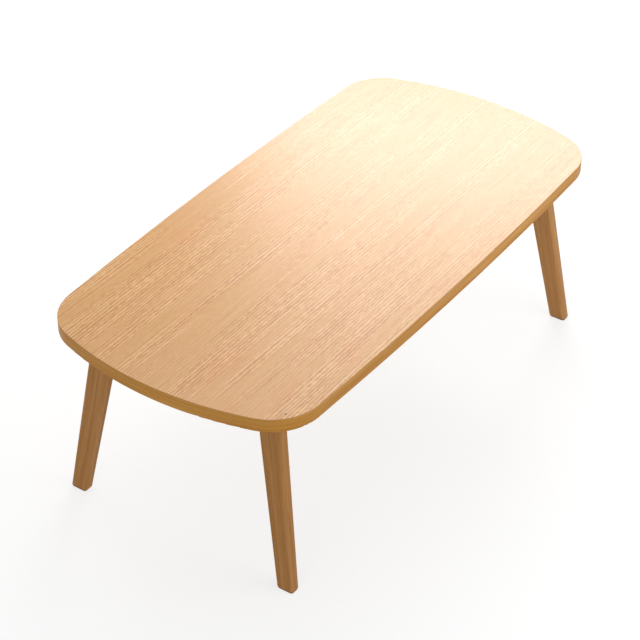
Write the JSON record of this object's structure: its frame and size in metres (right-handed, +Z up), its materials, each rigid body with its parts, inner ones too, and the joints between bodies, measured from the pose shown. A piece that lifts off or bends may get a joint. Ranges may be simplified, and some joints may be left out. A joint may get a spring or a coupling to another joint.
{
  "type": "folding coffee table",
  "caption": "Low rectangular table with bowed sides and rounded corners on splayed wooden legs, each folding flat under the top on a latching steel bracket.",
  "frame": {"origin": "on the floor under the middle of the top", "axes": "+X along the table's length, +Y across its width, +Z up"},
  "size_m": [1.1998, 0.5998, 0.43],
  "materials": {
    "wood_grain_laminate": "satin wood-grain laminate, pale straight grain along the table",
    "edge_wood": "satin lacquered wood, warm brown",
    "fibreboard": "raw pressed board",
    "backing_sheet": "matt balancing laminate",
    "leg_wood": "satin lacquered solid wood, straight grain",
    "zinc_plate": "zinc-plated pressed steel",
    "zinc_screw": "bright zinc-plated steel",
    "spring_steel": "blued spring steel",
    "button_plastic": "moulded black nylon",
    "foot_pad": "dark felted rubber"
  },
  "bodies": {
    "tabletop": {"core_board": "fibreboard", "backing_laminate": "backing_sheet", "edge_lipping": "edge_wood", "top_laminate": "wood_grain_laminate", "bracket_screws": "zinc_screw", "leaf_rivets": "zinc_screw", "left_front_wedge_block": "fibreboard", "left_front_bracket_base": "zinc_plate", "left_front_latch_leaf": "spring_steel", "left_front_pivot_rivet": "zinc_screw", "right_front_wedge_block": "fibreboard", "right_front_bracket_base": "zinc_plate", "right_front_latch_leaf": "spring_steel", "right_front_pivot_rivet": "zinc_screw", "right_rear_wedge_block": "fibreboard", "right_rear_bracket_base": "zinc_plate", "right_rear_latch_leaf": "spring_steel", "right_rear_pivot_rivet": "zinc_screw", "left_rear_wedge_block": "fibreboard", "left_rear_bracket_base": "zinc_plate", "left_rear_latch_leaf": "spring_steel", "left_rear_pivot_rivet": "zinc_screw"},
    "left_front_leg_assembly": {"left_front_leg": "leg_wood", "left_front_leg_saddle": "zinc_plate", "left_front_pivot_sleeve": "zinc_plate", "left_front_saddle_screws": "zinc_screw", "left_front_foot_pad": "foot_pad", "left_front_pad_screw": "zinc_screw"},
    "left_front_button": {"left_front_release_button": "button_plastic"},
    "right_front_leg_assembly": {"right_front_leg": "leg_wood", "right_front_leg_saddle": "zinc_plate", "right_front_pivot_sleeve": "zinc_plate", "right_front_saddle_screws": "zinc_screw", "right_front_foot_pad": "foot_pad", "right_front_pad_screw": "zinc_screw"},
    "right_front_button": {"right_front_release_button": "button_plastic"},
    "right_rear_leg_assembly": {"right_rear_leg": "leg_wood", "right_rear_leg_saddle": "zinc_plate", "right_rear_pivot_sleeve": "zinc_plate", "right_rear_saddle_screws": "zinc_screw", "right_rear_foot_pad": "foot_pad", "right_rear_pad_screw": "zinc_screw"},
    "right_rear_button": {"right_rear_release_button": "button_plastic"},
    "left_rear_leg_assembly": {"left_rear_leg": "leg_wood", "left_rear_leg_saddle": "zinc_plate", "left_rear_pivot_sleeve": "zinc_plate", "left_rear_saddle_screws": "zinc_screw", "left_rear_foot_pad": "foot_pad", "left_rear_pad_screw": "zinc_screw"},
    "left_rear_button": {"left_rear_release_button": "button_plastic"}
  },
  "joints": [
    {"name": "left_front_leg_fold", "type": "hinge", "parent": "tabletop", "child": "left_front_leg_assembly", "pos_m": [-0.48111, -0.19371, 0.37104], "axis": [0, -0.9871, 0.1604], "range_deg": [0, 96.06], "deforming": ["left_front_latch_leaf"]},
    {"name": "left_front_button_press", "type": "slide", "parent": "tabletop", "child": "left_front_button", "axis": [1, 0, 0], "range_m": [0, 0.002], "stiffness_N_per_m": 2500, "deforming": ["left_front_latch_leaf"]},
    {"name": "right_front_leg_fold", "type": "hinge", "parent": "tabletop", "child": "right_front_leg_assembly", "pos_m": [0.48111, -0.19371, 0.37104], "axis": [0, 0.9871, -0.1604], "range_deg": [0, 96.06], "deforming": ["right_front_latch_leaf"]},
    {"name": "right_front_button_press", "type": "slide", "parent": "tabletop", "child": "right_front_button", "axis": [-1, 0, 0], "range_m": [0, 0.002], "stiffness_N_per_m": 2500, "deforming": ["right_front_latch_leaf"]},
    {"name": "right_rear_leg_fold", "type": "hinge", "parent": "tabletop", "child": "right_rear_leg_assembly", "pos_m": [0.48111, 0.19371, 0.37104], "axis": [0, 0.9871, 0.1604], "range_deg": [0, 96.06], "deforming": ["right_rear_latch_leaf"]},
    {"name": "right_rear_button_press", "type": "slide", "parent": "tabletop", "child": "right_rear_button", "axis": [-1, 0, 0], "range_m": [0, 0.002], "stiffness_N_per_m": 2500, "deforming": ["right_rear_latch_leaf"]},
    {"name": "left_rear_leg_fold", "type": "hinge", "parent": "tabletop", "child": "left_rear_leg_assembly", "pos_m": [-0.48111, 0.19371, 0.37104], "axis": [0, -0.9871, -0.1604], "range_deg": [0, 96.06], "deforming": ["left_rear_latch_leaf"]},
    {"name": "left_rear_button_press", "type": "slide", "parent": "tabletop", "child": "left_rear_button", "axis": [1, 0, 0], "range_m": [0, 0.002], "stiffness_N_per_m": 2500, "deforming": ["left_rear_latch_leaf"]}
  ]
}
